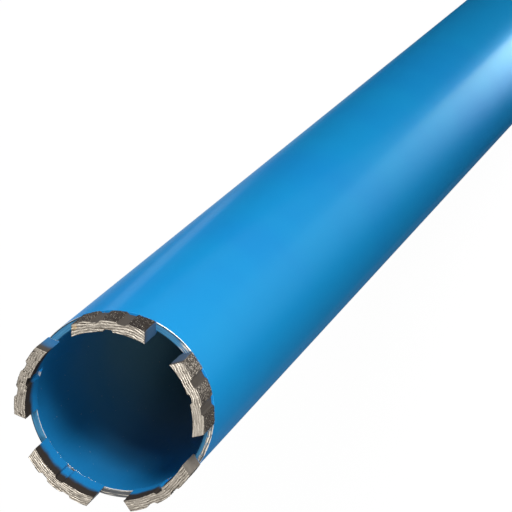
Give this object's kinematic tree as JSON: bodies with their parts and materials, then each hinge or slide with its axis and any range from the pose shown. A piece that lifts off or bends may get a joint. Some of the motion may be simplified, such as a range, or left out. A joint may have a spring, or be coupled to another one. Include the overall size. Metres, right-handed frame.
{
  "type": "diamond core bit",
  "caption": "Long thin-walled drill tube with grooved diamond segments standing on its front rim and a threaded hub with wrench flats closing its rear end.",
  "frame": {"origin": "centre of the hub's rear face, on the bit's axis, where the bit stands", "axes": "+Z runs along the barrel from the hub to the crown, +Y passes through the middle of segment_1, and the hub's wrench flats face +Y and -Y"},
  "size_m": [0.062, 0.0618, 0.694],
  "materials": {
    "blue_lacquer": "satin blue lacquer on steel",
    "hub_steel": "blue lacquer, bare turned steel in the socket and on the rear face",
    "sintered_metal": "sintered metal with diamond grit, ground bright on the cutting face",
    "silver_braze": "bright brazing alloy"
  },
  "bodies": {
    "root": {"barrel_tube": "blue_lacquer", "rear_weld": "blue_lacquer", "segment_1": "sintered_metal", "segment_2": "sintered_metal", "segment_3": "sintered_metal", "segment_4": "sintered_metal", "segment_5": "sintered_metal", "solder_seam_1": "silver_braze", "solder_seam_2": "silver_braze", "solder_seam_3": "silver_braze", "solder_seam_4": "silver_braze", "solder_seam_5": "silver_braze", "threaded_hub": "hub_steel"}
  },
  "joints": []
}
